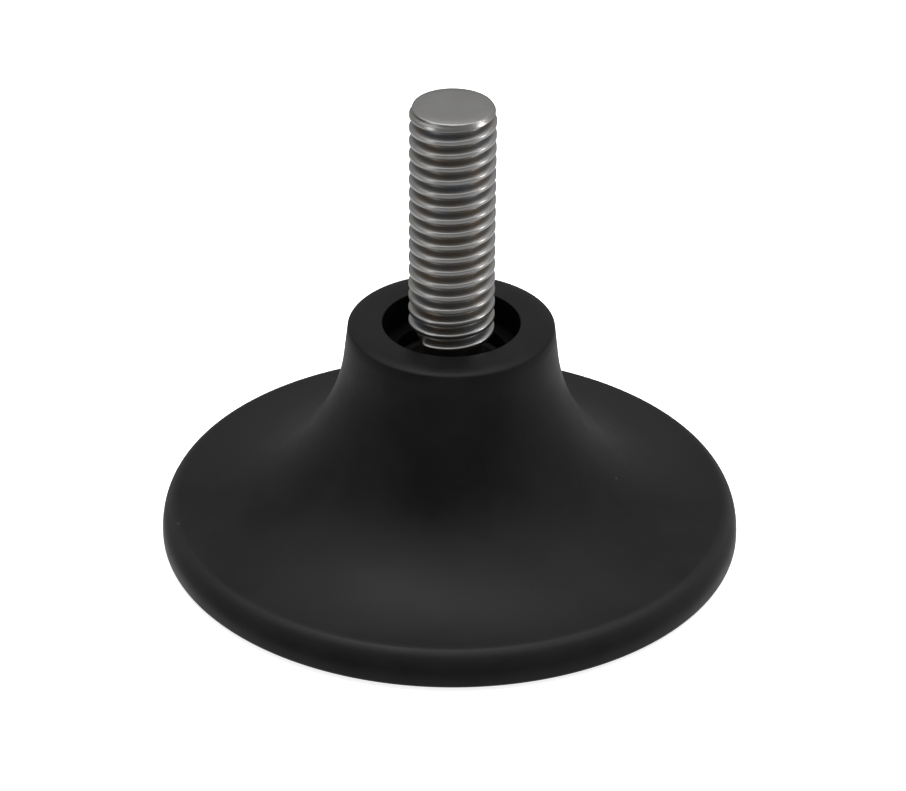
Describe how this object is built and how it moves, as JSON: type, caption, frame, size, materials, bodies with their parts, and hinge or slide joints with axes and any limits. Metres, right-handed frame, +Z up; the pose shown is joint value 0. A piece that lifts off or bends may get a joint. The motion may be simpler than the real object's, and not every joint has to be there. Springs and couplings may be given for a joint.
{
  "type": "furniture leveling foot",
  "caption": "Swivel leveling foot: flared black moulded base with a collar, ball joint inside it and a threaded steel stud that tilts and turns.",
  "frame": {"origin": "centre of the underside, on the floor", "axes": "+Z up along the upright stud, which is the symmetry axis; X and Y are equal"},
  "size_m": [0.065, 0.065, 0.0539],
  "materials": {
    "moulded_plastic": "fine matte moulded black, slightly mottled",
    "plug_plastic": "plain moulded black",
    "liner_acetal": "smooth dark bearing plastic",
    "bearing_steel": "fine turned steel, lightly greased",
    "clip_steel": "dark spring steel",
    "zinc_plated_steel": "rolled thread, satin zinc plating with dull roots",
    "pad_rubber": "matte dark rubber"
  },
  "bodies": {
    "base": {"base_shell": "moulded_plastic", "thrust_cup": "bearing_steel", "socket_plug": "plug_plastic", "foot_pad": "pad_rubber"},
    "bearing": {"socket_liner": "liner_acetal"},
    "ball": {"swivel_ball": "bearing_steel"},
    "stud": {"threaded_stud": "zinc_plated_steel", "retaining_clip": "clip_steel"}
  },
  "joints": [
    {"name": "swivel_yaw", "type": "hinge", "parent": "base", "child": "bearing", "pos_m": [0, 0, 0.016], "axis": [0, 0, 1], "continuous": true},
    {"name": "tilt", "type": "hinge", "parent": "bearing", "child": "ball", "pos_m": [0, 0, 0.016], "axis": [1, 0, 0], "range_deg": [-10, 10]},
    {"name": "stud_spin", "type": "hinge", "parent": "ball", "child": "stud", "pos_m": [0, 0, 0.016], "axis": [0, 0, 1], "continuous": true}
  ]
}
